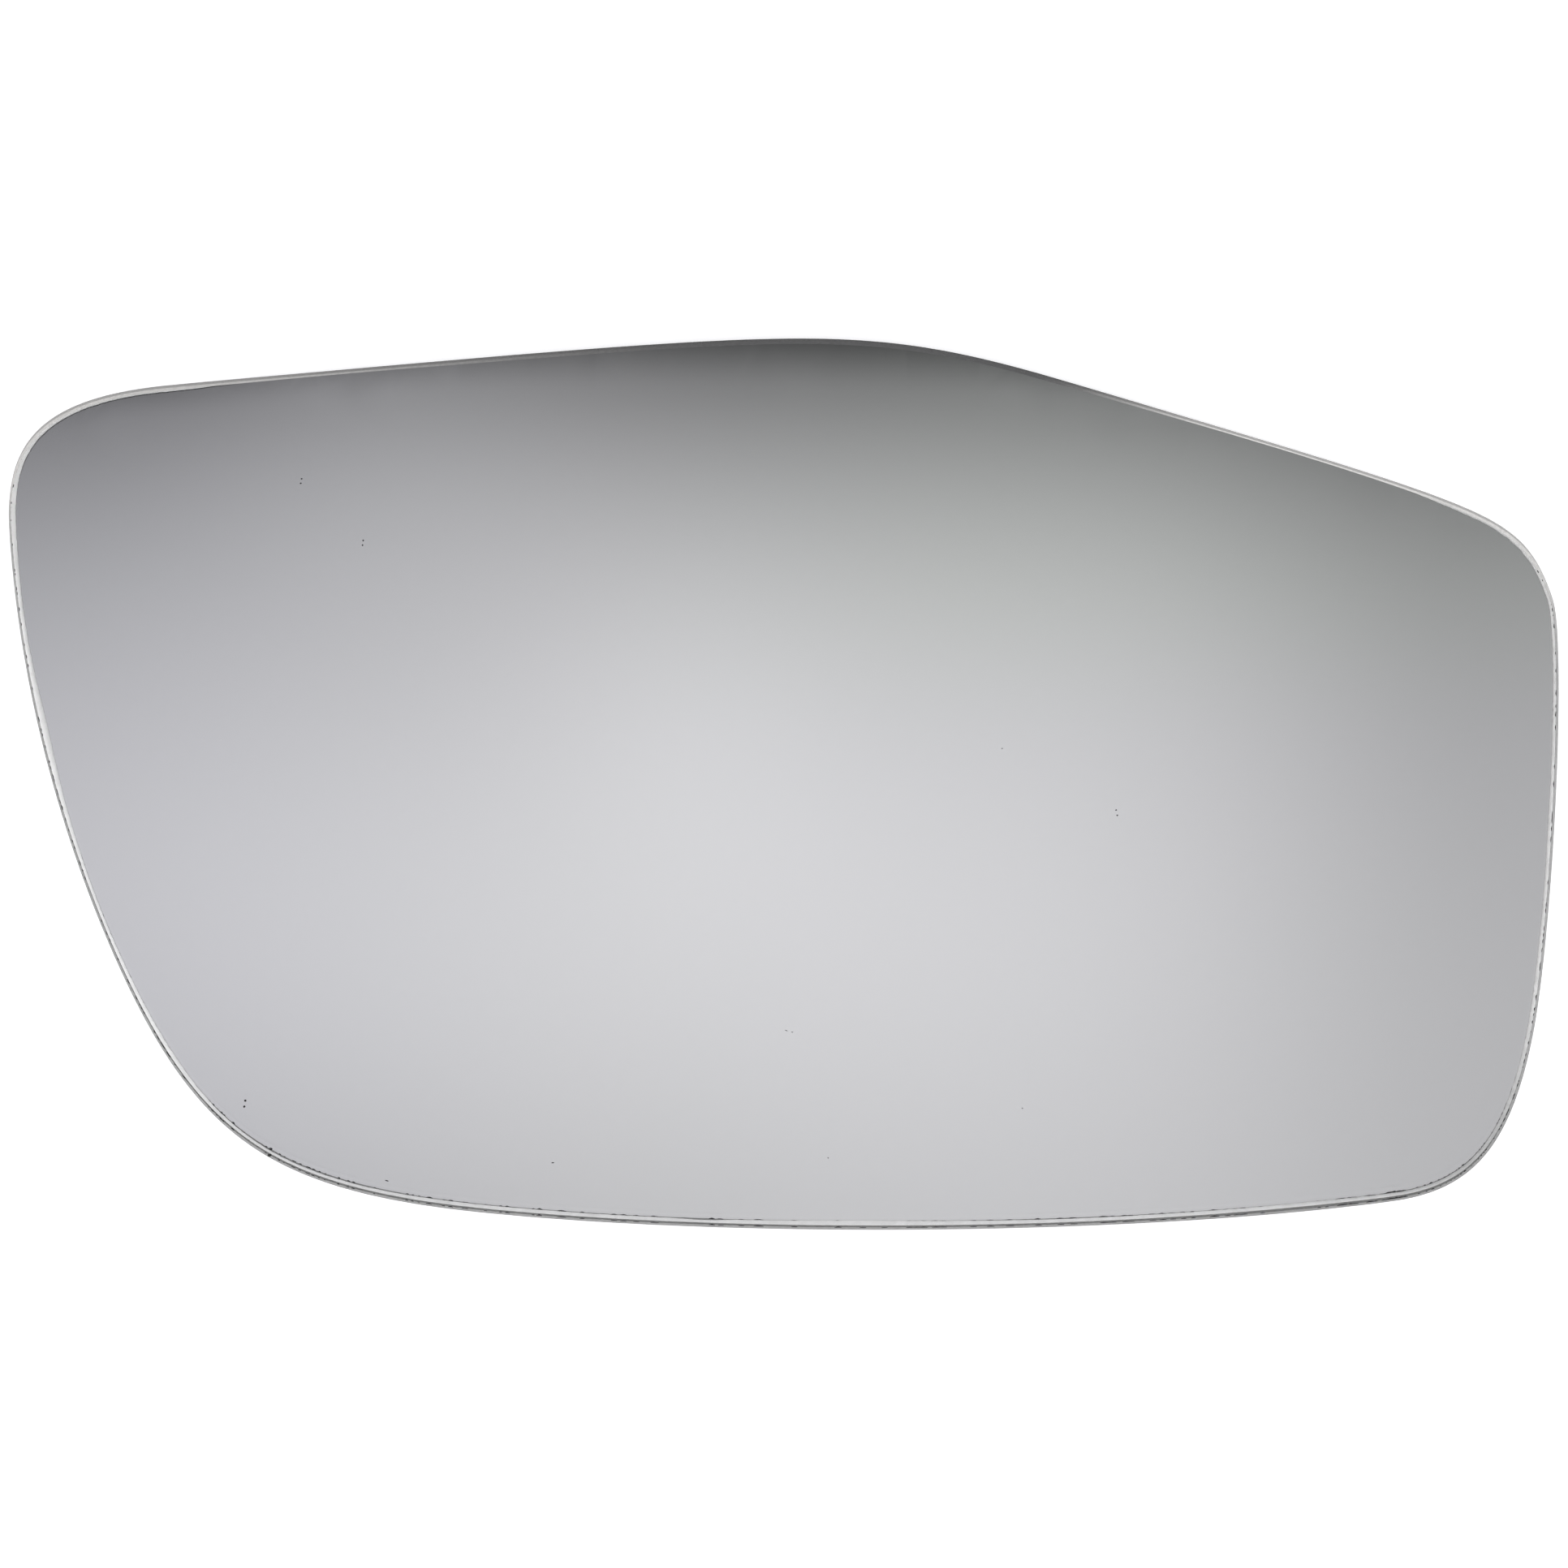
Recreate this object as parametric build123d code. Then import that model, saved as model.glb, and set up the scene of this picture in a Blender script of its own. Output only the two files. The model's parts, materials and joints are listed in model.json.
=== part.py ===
from build123d import *
import os

# Car door mirror glass: one bare pane, silvered on its back, lying face up on its rim.
# Millimetres. +X runs along the pane to the right and +Y up it, seen from the front; +Z is out of the glass.

# Pane
GLASS_THICKNESS = 2.0
FRONT_RADIUS = 2000.0

# Highest point of the bowed front, placed so that three corners of the rim come to rest level
BOW_CENTRE_X = -3.1
BOW_CENTRE_Y = -2.6

# Ground edge: the narrow flats taken off the front and the back corner of the cut edge
FRONT_FLAT = 0.28
BACK_FLAT = 0.25

# Outline corners, counter-clockwise from the upper right. Each is the point where the two sides
# beside it would meet; its fullness says how far the curve is pulled towards that point (0 to 1).
TOP_RIGHT_X = 85.8
TOP_RIGHT_Y = 31.6
TOP_RIGHT_FULLNESS = 0.74
CROWN_X = 8.6
CROWN_Y = 55.4
CROWN_FULLNESS = 0.71
TOP_LEFT_X = -90.7
TOP_LEFT_Y = 45.9
TOP_LEFT_FULLNESS = 0.54
LEFT_SIDE_X = -88.7
LEFT_SIDE_Y = 3.7
LEFT_SIDE_FULLNESS = 0.48
BOTTOM_LEFT_X = -66.2
BOTTOM_LEFT_Y = -47.7
BOTTOM_LEFT_FULLNESS = 0.59
BOTTOM_EDGE_X = 19.6
BOTTOM_EDGE_Y = -57.0
BOTTOM_EDGE_FULLNESS = 0.41
BOTTOM_RIGHT_X = 84.0
BOTTOM_RIGHT_Y = -48.7
BOTTOM_RIGHT_FULLNESS = 0.55
RIGHT_SIDE_X = 94.1
RIGHT_SIDE_Y = 7.1
RIGHT_SIDE_FULLNESS = 0.25

# How far along each side, towards the named corner, the curve of the corner before it ends
MEET_BEFORE_TOP_RIGHT = 0.60
MEET_BEFORE_CROWN = 0.70
MEET_BEFORE_TOP_LEFT = 0.80
MEET_BEFORE_LEFT_SIDE = 0.35
MEET_BEFORE_BOTTOM_LEFT = 0.50
MEET_BEFORE_BOTTOM_EDGE = 0.35
MEET_BEFORE_BOTTOM_RIGHT = 0.80
MEET_BEFORE_RIGHT_SIDE = 0.33

CORNERS = [
    (Vector(TOP_RIGHT_X, TOP_RIGHT_Y), TOP_RIGHT_FULLNESS, MEET_BEFORE_TOP_RIGHT),
    (Vector(CROWN_X, CROWN_Y), CROWN_FULLNESS, MEET_BEFORE_CROWN),
    (Vector(TOP_LEFT_X, TOP_LEFT_Y), TOP_LEFT_FULLNESS, MEET_BEFORE_TOP_LEFT),
    (Vector(LEFT_SIDE_X, LEFT_SIDE_Y), LEFT_SIDE_FULLNESS, MEET_BEFORE_LEFT_SIDE),
    (Vector(BOTTOM_LEFT_X, BOTTOM_LEFT_Y), BOTTOM_LEFT_FULLNESS, MEET_BEFORE_BOTTOM_LEFT),
    (Vector(BOTTOM_EDGE_X, BOTTOM_EDGE_Y), BOTTOM_EDGE_FULLNESS, MEET_BEFORE_BOTTOM_EDGE),
    (Vector(BOTTOM_RIGHT_X, BOTTOM_RIGHT_Y), BOTTOM_RIGHT_FULLNESS, MEET_BEFORE_BOTTOM_RIGHT),
    (Vector(RIGHT_SIDE_X, RIGHT_SIDE_Y), RIGHT_SIDE_FULLNESS, MEET_BEFORE_RIGHT_SIDE),
]


def pane_outline():
    """Closed outline: one conic per corner, each tangent to the two sides beside it."""
    points = [corner for corner, _, _ in CORNERS]
    meets = []
    for index, (corner, _, share) in enumerate(CORNERS):
        before = points[index - 1]
        meets.append(before + (corner - before) * share)
    conics = []
    for index, (corner, fullness, _) in enumerate(CORNERS):
        start = meets[index]
        end = meets[(index + 1) % len(meets)]
        pull = fullness / (1 - fullness)
        conics.append(Bezier(start, corner, end, weights=[1, pull, 1]))
    return make_face(conics)


def bowed_ball(radius):
    """Ball about the common centre of the front and back faces, its poles turned away from the pane."""
    centre = Pos(BOW_CENTRE_X, BOW_CENTRE_Y, -FRONT_RADIUS)
    return centre * Rot(X=90) * Sphere(radius)


def mirror_glass():
    """The pane: cut to its outline between two bowed faces, with both corners of the edge ground."""
    outline = pane_outline()
    depth = outline.bounding_box().diagonal / 2
    blank = extrude(outline, amount=depth, both=True)
    pane = (blank & bowed_ball(FRONT_RADIUS)) - bowed_ball(FRONT_RADIUS - GLASS_THICKNESS)
    by_height = pane.faces().filter_by(GeomType.SPHERE).sort_by(Axis.Z)
    pane = chamfer(by_height[-1].edges(), FRONT_FLAT)
    back = pane.faces().filter_by(GeomType.SPHERE).sort_by(Axis.Z)[0]
    return chamfer(back.edges(), BACK_FLAT)


def laid_on_its_rim(pane):
    """Moves the pane so that its rim touches z = 0, with its box centred on the origin."""
    box = pane.bounding_box()
    return Pos(-box.center().X, -box.center().Y, -box.min.Z) * pane


os.makedirs("parts", exist_ok=True)
export_step(laid_on_its_rim(mirror_glass()), "parts/mirror_glass.step")
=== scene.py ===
import json
import math

import bmesh
import bpy
from mathutils import Matrix, Vector, noise


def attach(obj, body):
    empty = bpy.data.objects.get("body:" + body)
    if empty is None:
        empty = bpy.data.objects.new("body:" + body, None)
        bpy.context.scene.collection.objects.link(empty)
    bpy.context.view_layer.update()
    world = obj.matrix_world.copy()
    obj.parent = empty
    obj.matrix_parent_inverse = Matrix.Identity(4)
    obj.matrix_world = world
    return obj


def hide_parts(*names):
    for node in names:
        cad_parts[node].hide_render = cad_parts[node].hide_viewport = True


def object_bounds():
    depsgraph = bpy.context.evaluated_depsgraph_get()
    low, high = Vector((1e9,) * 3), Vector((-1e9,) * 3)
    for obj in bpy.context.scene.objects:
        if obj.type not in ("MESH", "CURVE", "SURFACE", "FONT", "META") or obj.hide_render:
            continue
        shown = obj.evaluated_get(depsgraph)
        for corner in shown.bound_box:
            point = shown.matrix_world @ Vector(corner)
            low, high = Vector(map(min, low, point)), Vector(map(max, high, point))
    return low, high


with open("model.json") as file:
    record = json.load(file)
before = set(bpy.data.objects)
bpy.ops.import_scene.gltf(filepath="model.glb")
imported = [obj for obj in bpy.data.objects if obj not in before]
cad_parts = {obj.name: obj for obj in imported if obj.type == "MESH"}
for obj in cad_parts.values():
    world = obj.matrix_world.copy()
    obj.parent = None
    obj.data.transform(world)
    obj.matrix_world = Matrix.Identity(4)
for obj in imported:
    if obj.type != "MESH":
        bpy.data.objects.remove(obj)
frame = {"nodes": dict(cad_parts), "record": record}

CAD_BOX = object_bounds()
PANE_NODE = "mirror_glass"

# Metres throughout, in the CAD frame: the pane lies face up, and +Y is the top of the photograph
MM = 0.001
GLASS_THICKNESS = 2.0 * MM
FRONT_RADIUS = 2000.0 * MM
UP = 1
DOWN = -1

# The bow's highest point is where the coated back meets its carrier
BOW_CENTRE = Vector(frame["record"]["mounts"][0]["pos_m"])
PANE_TOP = BOW_CENTRE.z + GLASS_THICKNESS

# Ground edge. Both flats are ground off centre: wider at the bottom and right than at the top and left
FRONT_FLAT = 0.28 * MM
FRONT_FLAT_SHIFT = Vector((-0.04, 0.06, 0.0)) * MM
BACK_FLAT = 0.25 * MM
BACK_FLAT_SHIFT = Vector((-0.02, 0.03, 0.0)) * MM
RIDGE = 0.035 * MM

# Stretches where a flat is wider or narrower still: middle, length and change of width
FRONT_FLAT_STRETCHES = [
    (Vector((57.0, 40.0, 0.0)) * MM, 20.0 * MM, -0.19 * MM),
    (Vector((-52.0, 48.0, 0.0)) * MM, 14.0 * MM, -0.11 * MM),
]
BACK_FLAT_STRETCHES = [
    (Vector((62.0, -51.0, 0.0)) * MM, 16.0 * MM, 0.09 * MM),
]

# How far the normals of faces lean up: walls hardly, broad faces almost fully, and flats between the two
CAD_WALL_LEAN = 0.3
CAD_FRONT_LEAN = 0.95
FLAT_LEAN = (0.02, 0.98)

# Coating on the back. It leaves a bare border beside the ground edge, except along most of the top
COAT_THICKNESS = 0.05 * MM
COAT_GAP = 0.01 * MM
COAT_TOP = PANE_TOP - GLASS_THICKNESS + COAT_THICKNESS
BARE_BORDER = 0.42 * MM
BARE_BORDER_LEAST = 0.01 * MM
NO_BORDER_RIGHT = (66.0 * MM, 80.0 * MM)
NO_BORDER_LEFT = (-58.0 * MM, -72.0 * MM)
FILM_LINE = 0.11 * MM
FILM_WAVE = 0.04 * MM
FILM_WAVE_LENGTH = 9.0 * MM
FILM_JAG = 0.035 * MM
FILM_JAG_LENGTH = 0.6 * MM

# Stretches where the bare border is wider or narrower: middle, length and change of width
FILM_BAYS = [
    (Vector((-86.6, 6.6, 0.0)) * MM, 7.5 * MM, 0.29 * MM),
    (Vector((-87.0, 34.0, 0.0)) * MM, 9.0 * MM, 0.13 * MM),
    (Vector((89.0, 14.0, 0.0)) * MM, 14.0 * MM, -0.05 * MM),
    (Vector((-78.0, -14.0, 0.0)) * MM, 12.0 * MM, -0.12 * MM),
    (Vector((-60.0, -46.0, 0.0)) * MM, 12.0 * MM, -0.12 * MM),
    (Vector((-15.0, -53.0, 0.0)) * MM, 40.0 * MM, 0.05 * MM),
    (Vector((10.0, -53.2, 0.0)) * MM, 11.0 * MM, 0.15 * MM),
    (Vector((62.0, -51.0, 0.0)) * MM, 18.0 * MM, 0.14 * MM),
    (Vector((-9.4, -52.6, 0.0)) * MM, 2.5 * MM, -0.14 * MM),
    (Vector((83.4, 29.7, 0.0)) * MM, 0.5 * MM, 0.07 * MM),
    (Vector((84.7, 28.5, 0.0)) * MM, 0.6 * MM, 0.08 * MM),
    (Vector((86.1, 27.1, 0.0)) * MM, 0.5 * MM, 0.07 * MM),
]

# Mesh fineness
OUTLINE_STEPS = 24
GRID_PITCH = 4.0 * MM
MERGE = 0.001 * MM
SHARP_ANGLE = math.radians(8)
GRAIN_SUBDIVISIONS = 2

# Material slots of the pane, and of its coated back
CLEAR, WALL, FLAT, CHIP, TINTED_BORDER = range(5)
FILM, LINE, PAINT = range(3)

# Chips out of the front corner: x, y, length and depth in millimetres
CHIPS = [
    (50.3, -51.9, 0.7, 0.12),
    (65.3, -50.8, 0.8, 0.12),
    (66.6, -50.6, 0.7, 0.13),
    (68.5, -50.4, 0.9, 0.12),
    (71.5, -49.6, 2.4, 0.19),
]
CHIP_MEAN = 0.7
CHIP_SWING = 0.6
CHIP_SWING_LENGTH = 0.2 * MM
CHIP_SHOWS = 0.03 * MM

# Small nicks, deepest along the bottom and missing along the top
NICK_LENGTH = 0.35 * MM
NICK_DEPTH = 0.20 * MM
NICK_START = 0.10
NICKS_MEAN = 0.45
NICKS_AT_BOTTOM = 0.55
NICKS_AT_SIDES = 0.30

# Dust on the front of the glass: x, y, length and breadth in millimetres, and turn in degrees
DUST = [
    (-56.1, 36.6, 0.21, 0.18, 20),
    (-49.0, 29.3, 0.21, 0.18, 70),
    (38.6, -3.2, 0.20, 0.18, 0),
    (-63.2, -38.1, 0.30, 0.27, 40),
    (-60.3, -44.0, 0.50, 0.36, 10),
]

# Short scratches in the silver film, which show once, in rows like those of the dust
SCRATCHES = [
    (-46.6, -47.4, 0.46, 0.14, -14),
    (-27.2, -45.2, 0.34, 0.13, 4),
    (0.1, -29.2, 0.36, 0.08, -22),
    (0.8, -29.4, 0.24, 0.08, -8),
    (5.0, -44.7, 0.22, 0.09, -50),
    (25.2, 4.6, 0.16, 0.12, 0),
    (27.7, -38.8, 0.16, 0.12, 0),
]

# Height of a grain or scratch, as a share of its breadth
GRAIN_HEIGHT = 0.4

# Glass
GLASS_IOR = 1.52
CLEAR_TONES = ((0.992, 0.997, 0.994, 1.0), (1.0, 1.0, 1.0, 1.0))

# Bare border: a grey tint, greyer along the bottom as painted shade and paler up the sides as painted light
BORDER_LIGHT_REACH = (-46.0 * MM, -26.0 * MM)
BOTTOM_BORDER_SHADE = (0.46, 0.46, 0.458, 1.0)
SIDE_BORDER_LIGHT = (0.84, 0.84, 0.83, 1.0)
HAZE_GRAIN = (0.82, 0.82, 0.82, 1.0)
HAZE_GRAIN_SHARE = (0.0, 1.0)

# Ground edge, with painted light and shade by place: dark as painted shade at the crown, which is the
# highest stretch, pale as painted light at the upper corners, grey as painted shade lower down
CROWN_SHADE_REACH_RIGHT = (28.0 * MM, 55.0 * MM)
CROWN_SHADE_REACH_LEFT = (-5.0 * MM, -105.0 * MM)
UPPER_EDGE = (22.0 * MM, 34.0 * MM)
UPPER_EDGE_SLANT = Vector((0.06, 1.0, 0.0))
# Painted shade at the crown, painted light at the upper corners, painted shade lower down and darker at the
# left
CROWN_WALL_PAINTED_SHADE = (0.015, 0.015, 0.015, 1.0)
CROWN_FLAT_PAINTED_SHADE = (0.065, 0.065, 0.065, 1.0)
CORNER_WALL_PAINTED_LIGHT = (0.355, 0.350, 0.338, 1.0)
CORNER_FLAT_PAINTED_LIGHT = (0.67, 0.660, 0.636, 1.0)
LOWER_PAINTED_SHADE = (0.44, 0.44, 0.432, 1.0)
LEFT_PAINTED_SHADE = (0.35, 0.35, 0.343, 1.0)
LEFT_SHADE_REACH = (-60.0 * MM, -84.0 * MM)
GROUND_GRAIN = (0.62, 0.62, 0.62, 1.0)
GROUND_GRAIN_SHARE = (0.0, 0.5)
GROUND_ROUGHNESS = (0.40, 0.60)
GROUND_BUMP = 0.35
GROUND_BUMP_HEIGHT = 0.03 * MM
FLAT_TRANSLUCENCE = 0.5
WALL_TRANSLUCENCE = 0.0
FLAT_GLOSS = 0.5
WALL_GLOSS = 0.12

# Fresh breaks, painted near black as painted shade
CHIP_PAINTED_SHADE_TONES = ((0.006, 0.006, 0.006, 1.0), (0.05, 0.05, 0.05, 1.0))
CHIP_ROUGHNESS = 0.6
CHIP_GLOSS = 0.1

# Silver film, and the line where it ends, which is tarnished along the top and most at its left
SILVER_TONES = ((0.932, 0.932, 0.942, 1.0), (0.940, 0.940, 0.950, 1.0))
LINE_TONES = ((0.88, 0.88, 0.88, 1.0), (0.18, 0.18, 0.18, 1.0))
LINE_ROUGHNESS = 0.12
TARNISH_ACROSS = (90.0 * MM, -70.0 * MM)
TARNISH_ALONG = (35.0 * MM, 43.0 * MM)
TARNISH_SHARE = (0.75, 1.0)

# Paint behind the film
PAINT_TONES = ((0.070, 0.073, 0.077, 1.0), (0.145, 0.148, 0.152, 1.0))
PAINT_ROUGHNESS = (0.45, 0.65)
PAINT_BUMP = 0.45
PAINT_BUMP_HEIGHT = 0.08 * MM

# Dust
DUST_TONES = ((0.010, 0.010, 0.010, 1.0), (0.030, 0.029, 0.027, 1.0))
DUST_ROUGHNESS = (0.7, 0.95)

# Patterns of the finishes: scale to the metre, and detail
CLEAR_CLOUDS = (30.0, 3.0)
HAZE_SPECKS = (900.0, 3.0)
GROUND_STREAKS = (2500.0, 3.0)
GROUND_GRIT = (9000.0, 3.0)
GROUND_PITS = (4000.0, 4.0)
CHIP_FACETS = (3000.0, 2.0)
SILVER_CLOUDS = (25.0, 3.0)
TARNISH_SPOTS = (45.0, 4.0)
PAINT_MOTTLE = (180.0, 5.0)
PAINT_SHEEN = (700.0, 3.0)
PAINT_PEEL = (900.0, 2.0)
DUST_MOTTLE = (9000.0, 3.0)
DUST_FLUFF = (8000.0, 2.0)
NOISE_MIDDLE = (0.3, 0.7)

# Studio, by the direction of the light: across is x / z and along is y / z
PANEL_STRENGTH = 0.5
PANEL_EDGE = -0.18
PANEL_SOFTNESS = 0.016
PANEL_FADE = 12.0
PANEL_CENTRE = 0.1
PANEL_SHADE = 0.95
PANEL_SHADE_REACH = (-0.173, -0.156)
PANEL_SHADE_CURVE = 0.8

# Soft lights on the panel, each with its strength, direction and breadth; the flag takes light away
SIDE_LIGHT = (0.22, (-0.06, -0.27), (0.20, 0.07))
EDGE_LIGHT = (0.07, (-0.05, -0.18), (0.04, 0.03))
CENTRE_LIGHT = (0.05, (0.0, -0.23), (0.03, 0.04))
GREY_FLAG = (-0.16, (0.14, -0.21), (0.05, 0.12))

# The rest of the ceiling, and what share of its light the silvered glass gives back
BEHIND_CAMERA = 0.5
BEHIND_CAMERA_REACH = (-0.14, 0.10)
LEAST_LIGHT = 0.01
MIRROR_RETURN = 0.913
EXPONENT_LIMIT = 30.0

# Tints of the ceiling: bluer at the left, greener at the upper right
STUDIO_WHITE = (0.984, 0.980, 1.000, 1.0)
STUDIO_BLUE = (0.984, 0.980, 1.030, 1.0)
STUDIO_GREEN = (0.962, 0.980, 0.964, 1.0)
BLUE_ACROSS = (0.0, -0.12)
GREEN_ACROSS = (-0.03, 0.06)
GREEN_ALONG = (-0.245, -0.205)

# Ring of light round the ceiling, the walls below it and the floor
LEAST_HEIGHT = 0.05
OVERHEAD_REACH = (0.42, 0.62)
RING_REACH = (1.0, 1.4)
RING_STRENGTH = 2.3
WALL_BASE = 0.32
WALL_WASH = 0.43
WALL_WASH_REACH = (1.5, 2.7)
WALL_FALL = 0.55
WALL_FALL_REACH = (2.7, 7.0)
FLOOR_HALF = 30.0
FLOOR_TONE = (0.93, 0.93, 0.93, 1.0)
FLOOR_ROUGHNESS = 0.9
FLOOR_GLOW = 0.42
FLOOR_GLOW_TONE = (1.0, 1.0, 1.0, 1.0)

# Camera: about 14 degrees off square, from the pane's top side
CAMERA_DISTANCE = 2.0
CAMERA_TILT = math.radians(14.0)
CAMERA_SIDE = math.radians(-0.8)
CAMERA_LENS = 394.2
CAMERA_SENSOR = 36.0
CAMERA_CLIP = (0.05, 100.0)
CAMERA_TARGET = Vector((-0.12, -0.29, -0.13)) * MM


def bow_drop(x, y):
    """How far the bowed front lies below its highest point at x, y."""
    off_centre = math.hypot(x - BOW_CENTRE.x, y - BOW_CENTRE.y)
    return FRONT_RADIUS - math.sqrt(FRONT_RADIUS ** 2 - off_centre ** 2)


def in_plan(vert):
    """A vertex's place seen from above."""
    return Vector((vert.co.x, vert.co.y, 0.0))


def changes_near(place, stretches):
    """Sum of the changes of width of all stretches, as they reach a place."""
    total = 0.0
    for middle, length, change in stretches:
        total += change * math.exp(-((place - middle).length / length) ** 2)
    return total


def rim_of_cad_pane():
    """Corner points of the CAD pane's rim, where its wall meets the front flat, in order round it."""
    shape = bmesh.new()
    shape.from_mesh(frame["nodes"][PANE_NODE].data)
    bmesh.ops.remove_doubles(shape, verts=shape.verts, dist=MERGE)
    rim = set()
    for edge in shape.edges:
        leans = sorted(face.normal.z for face in edge.link_faces)
        if len(leans) == 2 and abs(leans[0]) < CAD_WALL_LEAN < leans[1] < CAD_FRONT_LEAN:
            rim.update(edge.verts)
    points = [in_plan(vert) for vert in rim]
    shape.free()
    return sorted(points, key=lambda point: math.atan2(point.y, point.x))


def smooth_outline():
    """Closed wire mesh through the rim points, with a smooth line between them."""
    line = bpy.data.curves.new("rim_line", "CURVE")
    line.dimensions = "3D"
    line.resolution_u = OUTLINE_STEPS
    spline = line.splines.new("BEZIER")
    points = rim_of_cad_pane()
    spline.bezier_points.add(len(points) - 1)
    for knot, point in zip(spline.bezier_points, points):
        knot.co = point
        knot.handle_left_type = "AUTO"
        knot.handle_right_type = "AUTO"
    spline.use_cyclic_u = True
    holder = bpy.data.objects.new("rim_line", line)
    bpy.context.scene.collection.objects.link(holder)
    bpy.context.view_layer.update()
    wire = bpy.data.meshes.new_from_object(holder)
    bpy.data.objects.remove(holder)
    bpy.data.curves.remove(line)
    return wire


OUTLINE = smooth_outline()


def outline_face(shape, inset):
    """Fills the pane's outline, shrunk by inset, as one face that looks up."""
    shape.from_mesh(OUTLINE)
    bmesh.ops.remove_doubles(shape, verts=shape.verts, dist=MERGE)
    bmesh.ops.edgeloop_fill(shape, edges=shape.edges)
    bmesh.ops.recalc_face_normals(shape, faces=shape.faces)
    if shape.faces[:][0].normal.z < 0:
        bmesh.ops.reverse_faces(shape, faces=shape.faces)
    if inset > 0:
        ring = bmesh.ops.inset_region(shape, faces=shape.faces[:], thickness=inset,
                                      use_even_offset=True, use_boundary=True)
        bmesh.ops.delete(shape, geom=ring["faces"], context="FACES")


def thicken(shape, top, depth):
    """Makes a flat face a slab, from top down by depth."""
    bmesh.ops.translate(shape, verts=shape.verts, vec=(0, 0, top))
    bottom = bmesh.ops.extrude_face_region(shape, geom=shape.faces[:])
    lowered = [item for item in bottom["geom"] if isinstance(item, bmesh.types.BMVert)]
    bmesh.ops.translate(shape, verts=lowered, vec=(0, 0, -depth))
    bmesh.ops.recalc_face_normals(shape, faces=shape.faces)


def broad_face(shape, facing):
    """The broad face that looks up or down."""
    return max(shape.faces, key=lambda face: face.normal.z * facing * face.calc_area())


def grind_corner(shape, facing, flat):
    """Takes a narrow flat off all round the broad face that looks up or down."""
    bmesh.ops.bevel(shape, geom=broad_face(shape, facing).edges[:], offset=flat, offset_type="OFFSET",
                    segments=1, profile=0.5, affect="EDGES", clamp_overlap=False, material=-1)


def inward(vert, face):
    """Direction in the face, from a vertex of its border towards its middle."""
    border = [edge for edge in vert.link_edges if face in edge.link_faces]
    along = Vector((0, 0, 0))
    for edge in border:
        step = edge.other_vert(vert).co - vert.co
        along += step.normalized() if edge is border[0] else -step.normalized()
    side = Vector((-along.y, along.x, 0.0)).normalized()
    return side if side.dot(face.calc_center_median() - vert.co) > 0 else -side


def uneven_flat(shape, facing, shift, stretches):
    """Moves the border of a broad face, some stretches of it further, so that its flat varies in width."""
    face = broad_face(shape, facing)
    moves = {}
    for vert in face.verts:
        moves[vert] = shift + inward(vert, face) * changes_near(in_plan(vert), stretches)
    for vert, move in moves.items():
        vert.co += move


def chip_depths(border):
    """How deep the chips are at each point of the front corner."""
    depths = {vert: 0.0 for vert in border}
    for x, y, length, depth in CHIPS:
        place = Vector((x, y)) * MM
        middle = min(border, key=lambda vert: (vert.co.xy - place).length).co.copy()
        for vert in border:
            off = (vert.co - middle).length / (length / 2 * MM)
            if off < 1:
                ragged = CHIP_MEAN + CHIP_SWING * noise.noise(vert.co / CHIP_SWING_LENGTH)
                depths[vert] = max(depths[vert], depth * MM * math.sqrt(1 - off * off) * ragged)
    return depths


def nick_depth(vert, side):
    """How deep the nicks are at a point of the front corner, where side is the way into the face."""
    share = max(0.0, NICKS_MEAN + NICKS_AT_BOTTOM * side.y + NICKS_AT_SIDES * abs(side.x))
    return NICK_DEPTH * share * max(0.0, noise.noise(vert.co / NICK_LENGTH) - NICK_START)


def chip_corner(shape):
    """Breaks chips and small nicks out of the front corner; the deeper ones show as fresh breaks."""
    front = broad_face(shape, UP)
    sides = {vert: inward(vert, front) for vert in front.verts}
    depths = chip_depths(front.verts[:])
    for vert, side in sides.items():
        depths[vert] = max(depths[vert], nick_depth(vert, side))
    for vert, side in sides.items():
        vert.co += side * depths[vert]
    for vert, depth in depths.items():
        if depth > CHIP_SHOWS:
            for face in vert.link_faces:
                if face is not front:
                    face.material_index = CHIP


def bow(shape):
    """Cuts the broad faces into a grid and lowers every point to the bowed form."""
    for axis, low, high in ((0, CAD_BOX[0][0], CAD_BOX[1][0]), (1, CAD_BOX[0][1], CAD_BOX[1][1])):
        normal = Vector((0, 0, 0))
        normal[axis] = 1.0
        for step in range(1, int((high - low) / GRID_PITCH)):
            place = normal * (low + step * GRID_PITCH)
            everything = shape.verts[:] + shape.edges[:] + shape.faces[:]
            bmesh.ops.bisect_plane(shape, geom=everything, plane_co=place, plane_no=normal, dist=MERGE)
    for vert in shape.verts:
        vert.co.z -= bow_drop(vert.co.x, vert.co.y)


def follow_bow(mesh, slots):
    """Gives the faces of some slots the exact normals of the bow, so that they reflect without a ripple."""
    ball_centre = Vector((BOW_CENTRE.x, BOW_CENTRE.y, PANE_TOP - FRONT_RADIUS))
    normals = [corner.vector.copy() for corner in mesh.corner_normals]
    for face in mesh.polygons:
        if face.material_index in slots:
            for corner in face.loop_indices:
                outward = mesh.vertices[mesh.loops[corner].vertex_index].co - ball_centre
                normals[corner] = outward.normalized() * math.copysign(1.0, face.normal.z)
    mesh.normals_split_custom_set(normals)


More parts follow.
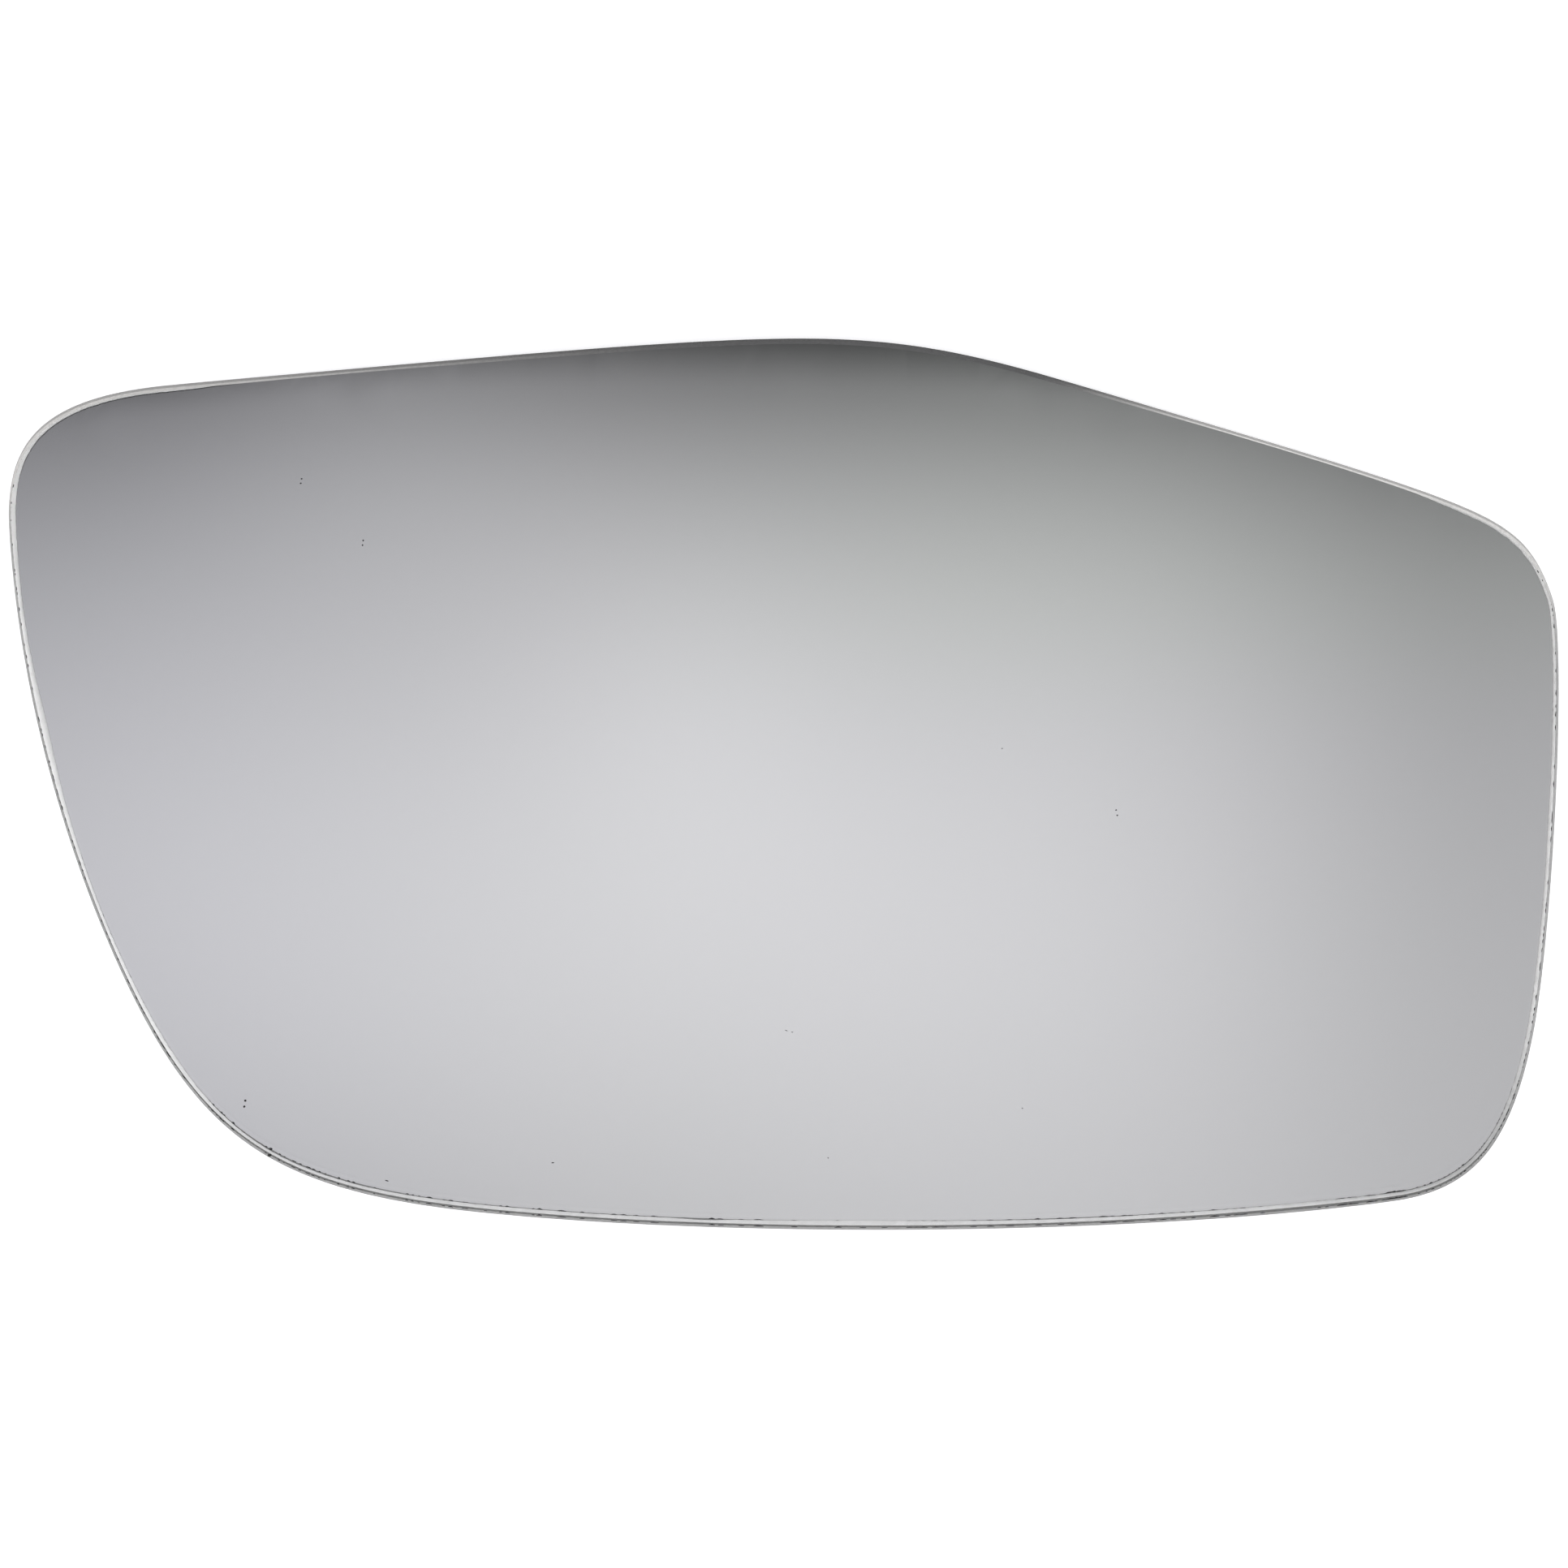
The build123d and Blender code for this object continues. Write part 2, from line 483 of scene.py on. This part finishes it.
def finished_piece(name, shape, materials, bowed_slots=()):
    """Turns a bmesh into a smooth-shaded piece that rides on the root body."""
    mesh = bpy.data.meshes.new(name)
    shape.to_mesh(mesh)
    shape.free()
    for material in materials:
        mesh.materials.append(material)
    mesh.shade_smooth()
    mesh.set_sharp_from_angle(angle=SHARP_ANGLE)
    if bowed_slots:
        follow_bow(mesh, bowed_slots)
    piece = bpy.data.objects.new(name, mesh)
    bpy.context.scene.collection.objects.link(piece)
    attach(piece, "root")
    return piece


def node_material(name):
    """New material with its shader node, ready for more nodes."""
    material = bpy.data.materials.new(name)
    material.use_nodes = True
    return material, material.node_tree, material.node_tree.nodes["Principled BSDF"]


def object_place(tree):
    """The piece's own coordinates, which are the CAD frame's."""
    return tree.nodes.new("ShaderNodeTexCoord").outputs["Object"]


def split_place(tree):
    """The x and y of the piece's own coordinates."""
    split = tree.nodes.new("ShaderNodeSeparateXYZ")
    tree.links.new(object_place(tree), split.inputs["Vector"])
    return split.outputs["X"], split.outputs["Y"]


def add_noise(tree, scale, detail):
    """Noise on the piece's own coordinates."""
    pattern = tree.nodes.new("ShaderNodeTexNoise")
    pattern.inputs["Scale"].default_value = scale
    pattern.inputs["Detail"].default_value = detail
    tree.links.new(object_place(tree), pattern.inputs["Vector"])
    return pattern.outputs["Fac"]


def spread(tree, source, low, high):
    """Maps the middle of a noise to the range from low to high."""
    change = tree.nodes.new("ShaderNodeMapRange")
    change.inputs["From Min"].default_value = NOISE_MIDDLE[0]
    change.inputs["From Max"].default_value = NOISE_MIDDLE[1]
    change.inputs["To Min"].default_value = low
    change.inputs["To Max"].default_value = high
    tree.links.new(source, change.inputs["Value"])
    return change.outputs["Result"]


def soft_step(tree, value, start, end):
    """0 at start to 1 at end, smoothly."""
    step = tree.nodes.new("ShaderNodeMapRange")
    step.interpolation_type = "SMOOTHSTEP"
    step.inputs["From Min"].default_value = start
    step.inputs["From Max"].default_value = end
    tree.links.new(value, step.inputs["Value"])
    return step.outputs["Result"]


def calculate(tree, operation, *values):
    """Math node on sockets or numbers."""
    node = tree.nodes.new("ShaderNodeMath")
    node.operation = operation
    for socket, value in zip(node.inputs, values):
        if isinstance(value, (int, float)):
            socket.default_value = value
        else:
            tree.links.new(value, socket)
    return node.outputs["Value"]


def square(tree, value):
    """Value times itself."""
    return calculate(tree, "MULTIPLY", value, value)


def blend_colours(tree, share, first, second, kind="MIX"):
    """Colour between first and second, each a colour or a socket."""
    mix = tree.nodes.new("ShaderNodeMix")
    mix.data_type = "RGBA"
    mix.blend_type = kind
    tree.links.new(share, mix.inputs["Factor"])
    for name, colour in (("A", first), ("B", second)):
        if isinstance(colour, tuple):
            mix.inputs[name].default_value = colour
        else:
            tree.links.new(colour, mix.inputs[name])
    return mix.outputs["Result"]


def mottle(tree, shader, pattern, tones):
    """Base colour that wanders between two tones."""
    tone = blend_colours(tree, add_noise(tree, *pattern), *tones)
    tree.links.new(tone, shader.inputs["Base Color"])


def vary_roughness(tree, shader, pattern, limits):
    """Roughness that wanders between two limits."""
    tree.links.new(spread(tree, add_noise(tree, *pattern), *limits), shader.inputs["Roughness"])


def add_bump(tree, shader, pattern, strength, distance):
    """Bump from a noise."""
    bump = tree.nodes.new("ShaderNodeBump")
    bump.inputs["Strength"].default_value = strength
    bump.inputs["Distance"].default_value = distance
    tree.links.new(add_noise(tree, *pattern), bump.inputs["Height"])
    tree.links.new(bump.outputs["Normal"], shader.inputs["Normal"])


def make_clear(shader):
    """Lets light through, as polished glass does."""
    shader.inputs["Transmission Weight"].default_value = 1.0
    shader.inputs["Roughness"].default_value = 0.0
    shader.inputs["IOR"].default_value = GLASS_IOR


def clear_glass():
    """Polished float glass, with hardly any tint."""
    material, tree, shader = node_material("clear_glass")
    mottle(tree, shader, CLEAR_CLOUDS, CLEAR_TONES)
    make_clear(shader)
    return material


def bare_border_light_and_shade():
    """Back of the glass outside the film, tinted grey: painted shade along the bottom, painted light up the
    sides.
    """
    material, tree, shader = node_material("bare_border_light_and_shade")
    _, along = split_place(tree)
    # Painted shade along the bottom, painted light up the sides
    tone = blend_colours(tree, soft_step(tree, along, *BORDER_LIGHT_REACH), BOTTOM_BORDER_SHADE, SIDE_BORDER_LIGHT)
    grain = spread(tree, add_noise(tree, *HAZE_SPECKS), *HAZE_GRAIN_SHARE)
    tone = blend_colours(tree, grain, tone, HAZE_GRAIN, "MULTIPLY")
    tree.links.new(tone, shader.inputs["Base Color"])
    make_clear(shader)
    return material


def upper_edge(tree):
    """1 along the pane's upper edge, 0 lower down."""
    height = tree.nodes.new("ShaderNodeVectorMath")
    height.operation = "DOT_PRODUCT"
    tree.links.new(object_place(tree), height.inputs[0])
    height.inputs[1].default_value = UPPER_EDGE_SLANT
    return soft_step(tree, height.outputs["Value"], *UPPER_EDGE)


def ground_light_and_shade(tree, upper, crown_shade, corner_light):
    """Painted light and shade of ground glass by its place round the pane, before its grain: painted shade
    at the crown and lower down, painted light at the upper corners.
    """
    across, _ = split_place(tree)
    out_of_crown_shade = calculate(tree, "MAXIMUM", soft_step(tree, across, *CROWN_SHADE_REACH_RIGHT),
                          soft_step(tree, across, *CROWN_SHADE_REACH_LEFT))
    upper_light_and_shade = blend_colours(tree, out_of_crown_shade, crown_shade, corner_light)
    lower_shade = blend_colours(tree, soft_step(tree, across, *LEFT_SHADE_REACH), LOWER_PAINTED_SHADE, LEFT_PAINTED_SHADE)
    return blend_colours(tree, upper, lower_shade, upper_light_and_shade)


def ground_glass(name, crown_shade, corner_light, translucence, gloss):
    """Wheel-ground glass: satin, with painted light and shade in its colour, and below the upper edge as
    translucent as is given.
    """
    material, tree, shader = node_material(name)
    upper = upper_edge(tree)
    if translucence > 0:
        lower = calculate(tree, "SUBTRACT", 1.0, upper)
        passing = calculate(tree, "MULTIPLY", lower, translucence)
        tree.links.new(passing, shader.inputs["Transmission Weight"])
    # Painted shade at the crown and lower down, painted light at the upper corners
    tone = ground_light_and_shade(tree, upper, crown_shade, corner_light)
    grain = spread(tree, add_noise(tree, *GROUND_STREAKS), *GROUND_GRAIN_SHARE)
    tone = blend_colours(tree, grain, tone, GROUND_GRAIN, "MULTIPLY")
    tree.links.new(tone, shader.inputs["Base Color"])
    vary_roughness(tree, shader, GROUND_GRIT, GROUND_ROUGHNESS)
    shader.inputs["IOR"].default_value = GLASS_IOR
    shader.inputs["Specular IOR Level"].default_value = gloss
    add_bump(tree, shader, GROUND_PITS, GROUND_BUMP, GROUND_BUMP_HEIGHT)
    return material


def chip_facet_painted_shade():
    """Fresh break, painted near black as the painted shade it shows from most sides."""
    material, tree, shader = node_material("chip_facet_painted_shade")
    mottle(tree, shader, CHIP_FACETS, CHIP_PAINTED_SHADE_TONES)
    shader.inputs["Roughness"].default_value = CHIP_ROUGHNESS
    shader.inputs["Specular IOR Level"].default_value = CHIP_GLOSS
    return material


def silver_film():
    """Mirror film, seen through the glass."""
    material, tree, shader = node_material("silver_film")
    mottle(tree, shader, SILVER_CLOUDS, SILVER_TONES)
    shader.inputs["Metallic"].default_value = 1.0
    shader.inputs["Roughness"].default_value = 0.0
    return material


def film_line():
    """Thin line where the film ends, tarnished along the top."""
    material, tree, shader = node_material("film_line")
    across, along = split_place(tree)
    worn = calculate(tree, "MULTIPLY", soft_step(tree, across, *TARNISH_ACROSS),
                     soft_step(tree, along, *TARNISH_ALONG))
    spots = spread(tree, add_noise(tree, *TARNISH_SPOTS), *TARNISH_SHARE)
    tone = blend_colours(tree, calculate(tree, "MULTIPLY", worn, spots), *LINE_TONES)
    tree.links.new(tone, shader.inputs["Base Color"])
    shader.inputs["Metallic"].default_value = 1.0
    shader.inputs["Roughness"].default_value = LINE_ROUGHNESS
    return material


def backing_paint():
    """Dark grey paint that keeps the film from the weather."""
    material, tree, shader = node_material("backing_paint")
    mottle(tree, shader, PAINT_MOTTLE, PAINT_TONES)
    vary_roughness(tree, shader, PAINT_SHEEN, PAINT_ROUGHNESS)
    add_bump(tree, shader, PAINT_PEEL, PAINT_BUMP, PAINT_BUMP_HEIGHT)
    return material


def dust_grain():
    """Dark dust, and the dark of a scratch."""
    material, tree, shader = node_material("dust_grain")
    mottle(tree, shader, DUST_MOTTLE, DUST_TONES)
    vary_roughness(tree, shader, DUST_FLUFF, DUST_ROUGHNESS)
    return material


def eased(value, start, end):
    """0 at start to 1 at end, smoothly."""
    share = min(1.0, max(0.0, (value - start) / (end - start)))
    return share * share * (3 - 2 * share)


def coat_setback(place):
    """How far inside the back flat the coat ends: uneven, and not at all along most of the top."""
    border = 1.0
    if place.y > 0:
        border = max(eased(place.x, *NO_BORDER_RIGHT), eased(place.x, *NO_BORDER_LEFT))
    wave = FILM_WAVE * noise.noise(place / FILM_WAVE_LENGTH)
    jag = FILM_JAG * noise.noise(place / FILM_JAG_LENGTH)
    return border * (BARE_BORDER + wave + jag + changes_near(place, FILM_BAYS))


def film_edge_places(sheet):
    """Where the coat ends beside each point of a border that lies one back flat inside the outline."""
    places = {}
    for vert in sheet.verts:
        places[vert] = vert.co + inward(vert, sheet) * coat_setback(in_plan(vert))
    return places


def bare_border(shape, back, film_edge):
    """Cuts a ring round the back, from its flat to the film's edge, and gives its faces."""
    ring = bmesh.ops.inset_region(shape, faces=[back], thickness=BARE_BORDER_LEAST, use_even_offset=True)
    for vert in back.verts:
        spoke = [edge for edge in vert.link_edges if edge not in back.edges[:]][0]
        outer = spoke.other_vert(vert)
        to_film = film_edge[vert] - outer.co
        to_ring = vert.co - outer.co
        if to_film.dot(to_ring) > to_ring.length_squared:
            vert.co = film_edge[vert]
    return ring["faces"]


def glass_pane():
    """Clear glass body with its ground edge; it stands for the CAD pane."""
    shape = bmesh.new()
    outline_face(shape, 0.0)
    thicken(shape, PANE_TOP, GLASS_THICKNESS - COAT_THICKNESS - COAT_GAP)
    grind_corner(shape, UP, FRONT_FLAT)
    uneven_flat(shape, UP, FRONT_FLAT_SHIFT, FRONT_FLAT_STRETCHES)
    grind_corner(shape, UP, RIDGE)
    grind_corner(shape, DOWN, BACK_FLAT)
    film_edge = film_edge_places(broad_face(shape, DOWN))
    uneven_flat(shape, DOWN, BACK_FLAT_SHIFT, BACK_FLAT_STRETCHES)
    for face in shape.faces:
        face.material_index = FLAT if FLAT_LEAN[0] < face.normal.z < FLAT_LEAN[1] else WALL
    back = broad_face(shape, DOWN)
    back.material_index = CLEAR
    broad_face(shape, UP).material_index = CLEAR
    for face in bare_border(shape, back, film_edge):
        face.material_index = TINTED_BORDER
    chip_corner(shape)
    bow(shape)
    # Wall and flat carry painted shade at the crown and painted light at the upper corners
    wall = ground_glass("ground_wall", CROWN_WALL_PAINTED_SHADE, CORNER_WALL_PAINTED_LIGHT, WALL_TRANSLUCENCE, WALL_GLOSS)
    flat = ground_glass("front_flat", CROWN_FLAT_PAINTED_SHADE, CORNER_FLAT_PAINTED_LIGHT, FLAT_TRANSLUCENCE, FLAT_GLOSS)
    finishes = [clear_glass(), wall, flat, chip_facet_painted_shade(), bare_border_light_and_shade()]
    piece = finished_piece("glass_pane", shape, finishes, bowed_slots=(CLEAR, TINTED_BORDER))
    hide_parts(PANE_NODE)


def coated_back():
    """Silver film under the glass, and the paint that covers it from behind."""
    shape = bmesh.new()
    outline_face(shape, BACK_FLAT)
    for vert, place in film_edge_places(broad_face(shape, UP)).items():
        vert.co = place
    thicken(shape, COAT_TOP, COAT_THICKNESS)
    for face in shape.faces:
        face.material_index = PAINT
    film = broad_face(shape, UP)
    film.material_index = FILM
    ring = bmesh.ops.inset_region(shape, faces=[film], thickness=FILM_LINE, use_even_offset=True)
    for face in ring["faces"]:
        face.material_index = LINE
    bow(shape)
    finishes = [silver_film(), film_line(), backing_paint()]
    finished_piece("coated_back", shape, finishes, bowed_slots=(FILM, LINE))


def scatter(shape, rows, level):
    """Flat grains on a bowed face whose highest point is at a level."""
    for x, y, length, breadth, turn in rows:
        place = Vector((x * MM, y * MM, 0.0))
        place.z = level - bow_drop(place.x, place.y)
        flatten = Matrix.Diagonal((length / breadth, 1.0, GRAIN_HEIGHT, 1.0))
        turned = Matrix.Translation(place) @ Matrix.Rotation(math.radians(turn), 4, "Z") @ flatten
        grain = bmesh.ops.create_icosphere(shape, subdivisions=GRAIN_SUBDIVISIONS, radius=breadth / 2 * MM)
        bmesh.ops.transform(shape, verts=grain["verts"], matrix=turned)


def dust_specks():
    """Grains of dust on the front, which the silver doubles, and scratches in the film."""
    shape = bmesh.new()
    scatter(shape, DUST, PANE_TOP)
    scatter(shape, SCRATCHES, COAT_TOP)
    finished_piece("dust_specks", shape, [dust_grain()])


def studio_floor():
    """White floor that glows a little, as a lit table does."""
    shape = bmesh.new()
    bmesh.ops.create_grid(shape, x_segments=1, y_segments=1, size=FLOOR_HALF)
    mesh = bpy.data.meshes.new("studio_floor")
    shape.to_mesh(mesh)
    shape.free()
    material, _, shader = node_material("floor_white")
    shader.inputs["Base Color"].default_value = FLOOR_TONE
    shader.inputs["Roughness"].default_value = FLOOR_ROUGHNESS
    shader.inputs["Specular IOR Level"].default_value = 0.0
    shader.inputs["Emission Color"].default_value = FLOOR_GLOW_TONE
    shader.inputs["Emission Strength"].default_value = FLOOR_GLOW
    mesh.materials.append(material)
    floor = bpy.data.objects.new("studio_floor", mesh)
    bpy.context.scene.collection.objects.link(floor)


def glow(tree, across, along, strength, centre, breadth):
    """Soft light, brightest at its centre; a negative strength takes light away."""
    squares = []
    for value, middle, size in zip((across, along), centre, breadth):
        offset = calculate(tree, "DIVIDE", calculate(tree, "SUBTRACT", value, middle), size)
        squares.append(square(tree, offset))
    total = calculate(tree, "ADD", *squares)
    fall = calculate(tree, "EXPONENT", calculate(tree, "MULTIPLY", total, -1.0))
    return calculate(tree, "MULTIPLY", fall, strength)


def ceiling_panel(tree, across, along):
    """Panel that ends softly towards the camera and fades to its sides."""
    past_edge = calculate(tree, "DIVIDE", calculate(tree, "SUBTRACT", along, PANEL_EDGE), PANEL_SOFTNESS)
    past_edge = calculate(tree, "EXPONENT", calculate(tree, "MINIMUM", past_edge, EXPONENT_LIMIT))
    ends = calculate(tree, "DIVIDE", PANEL_STRENGTH, calculate(tree, "ADD", past_edge, 1.0))
    sideways = square(tree, calculate(tree, "SUBTRACT", across, PANEL_CENTRE))
    fade = calculate(tree, "MULTIPLY", sideways, PANEL_FADE)
    return calculate(tree, "DIVIDE", ends, calculate(tree, "ADD", fade, 1.0))


def ceiling(tree, across, along):
    """What the glass shows to the camera: the panel with its soft lights, and the shade past its end."""
    total = ceiling_panel(tree, across, along)
    for strength, centre, breadth in (SIDE_LIGHT, EDGE_LIGHT, CENTRE_LIGHT, GREY_FLAG):
        total = calculate(tree, "ADD", total, glow(tree, across, along, strength, centre, breadth))
    curve = calculate(tree, "MULTIPLY", square(tree, across), PANEL_SHADE_CURVE)
    shade = soft_step(tree, calculate(tree, "ADD", along, curve), *PANEL_SHADE_REACH)
    lit = calculate(tree, "SUBTRACT", 1.0, calculate(tree, "MULTIPLY", shade, PANEL_SHADE))
    total = calculate(tree, "MULTIPLY", calculate(tree, "MAXIMUM", total, LEAST_LIGHT), lit)
    behind = calculate(tree, "MULTIPLY", soft_step(tree, along, *BEHIND_CAMERA_REACH), BEHIND_CAMERA)
    return calculate(tree, "DIVIDE", calculate(tree, "ADD", total, behind), MIRROR_RETURN)


def studio_walls(tree, slant):
    """Walls that are washed with light from above and fall off towards the floor."""
    wash = calculate(tree, "MULTIPLY", soft_step(tree, slant, *WALL_WASH_REACH), WALL_WASH)
    fall = calculate(tree, "MULTIPLY", soft_step(tree, slant, *WALL_FALL_REACH), WALL_FALL)
    return calculate(tree, "SUBTRACT", calculate(tree, "ADD", wash, WALL_BASE), fall)


def studio_tint(tree, across, along, overhead):
    """Slight tints of the ceiling."""
    blue = calculate(tree, "MULTIPLY", soft_step(tree, across, *BLUE_ACROSS), overhead)
    tint = blend_colours(tree, blue, STUDIO_WHITE, STUDIO_BLUE)
    green = calculate(tree, "MULTIPLY", soft_step(tree, across, *GREEN_ACROSS),
                      soft_step(tree, along, *GREEN_ALONG))
    return blend_colours(tree, calculate(tree, "MULTIPLY", green, overhead), tint, STUDIO_GREEN)


def studio_light():
    """Soft studio: a ceiling panel over the pane, a ring of soft light round it and softly washed walls."""
    world = bpy.data.worlds.new("studio")
    bpy.context.scene.world = world
    world.use_nodes = True
    tree = world.node_tree
    place = tree.nodes.new("ShaderNodeTexCoord")
    split = tree.nodes.new("ShaderNodeSeparateXYZ")
    tree.links.new(place.outputs["Generated"], split.inputs["Vector"])
    height = calculate(tree, "MAXIMUM", split.outputs["Z"], LEAST_HEIGHT)
    across = calculate(tree, "DIVIDE", split.outputs["X"], height)
    along = calculate(tree, "DIVIDE", split.outputs["Y"], height)
    slant = calculate(tree, "SQRT", calculate(tree, "ADD", square(tree, across), square(tree, along)))
    outside = soft_step(tree, slant, *OVERHEAD_REACH)
    overhead = calculate(tree, "SUBTRACT", 1.0, outside)
    low = soft_step(tree, slant, *RING_REACH)
    ring = calculate(tree, "MULTIPLY", calculate(tree, "SUBTRACT", outside, low), RING_STRENGTH)
    total = calculate(tree, "MULTIPLY", overhead, ceiling(tree, across, along))
    total = calculate(tree, "ADD", total, ring)
    total = calculate(tree, "ADD", total, calculate(tree, "MULTIPLY", low, studio_walls(tree, slant)))
    backdrop = tree.nodes["Background"]
    tree.links.new(studio_tint(tree, across, along, overhead), backdrop.inputs["Color"])
    tree.links.new(total, backdrop.inputs["Strength"])


def photo_camera():
    """Camera of the photograph, with the pane's top edge towards it and up in the picture."""
    towards = Vector((math.sin(CAMERA_SIDE), math.sin(CAMERA_TILT), math.cos(CAMERA_TILT))).normalized()
    right = Vector((0, 1, 0)).cross(towards).normalized()
    up = towards.cross(right)
    turn = Matrix((right, up, towards)).transposed().to_4x4()
    data = bpy.data.cameras.new("photo_camera")
    data.lens = CAMERA_LENS
    data.sensor_width = CAMERA_SENSOR
    data.clip_start = CAMERA_CLIP[0]
    data.clip_end = CAMERA_CLIP[1]
    camera = bpy.data.objects.new("photo_camera", data)
    camera.matrix_world = Matrix.Translation(CAMERA_TARGET + towards * CAMERA_DISTANCE) @ turn
    bpy.context.scene.collection.objects.link(camera)
    bpy.context.scene.camera = camera


glass_pane()
coated_back()
dust_specks()
studio_floor()
studio_light()
photo_camera()
bpy.context.scene.view_settings.view_transform = "Standard"
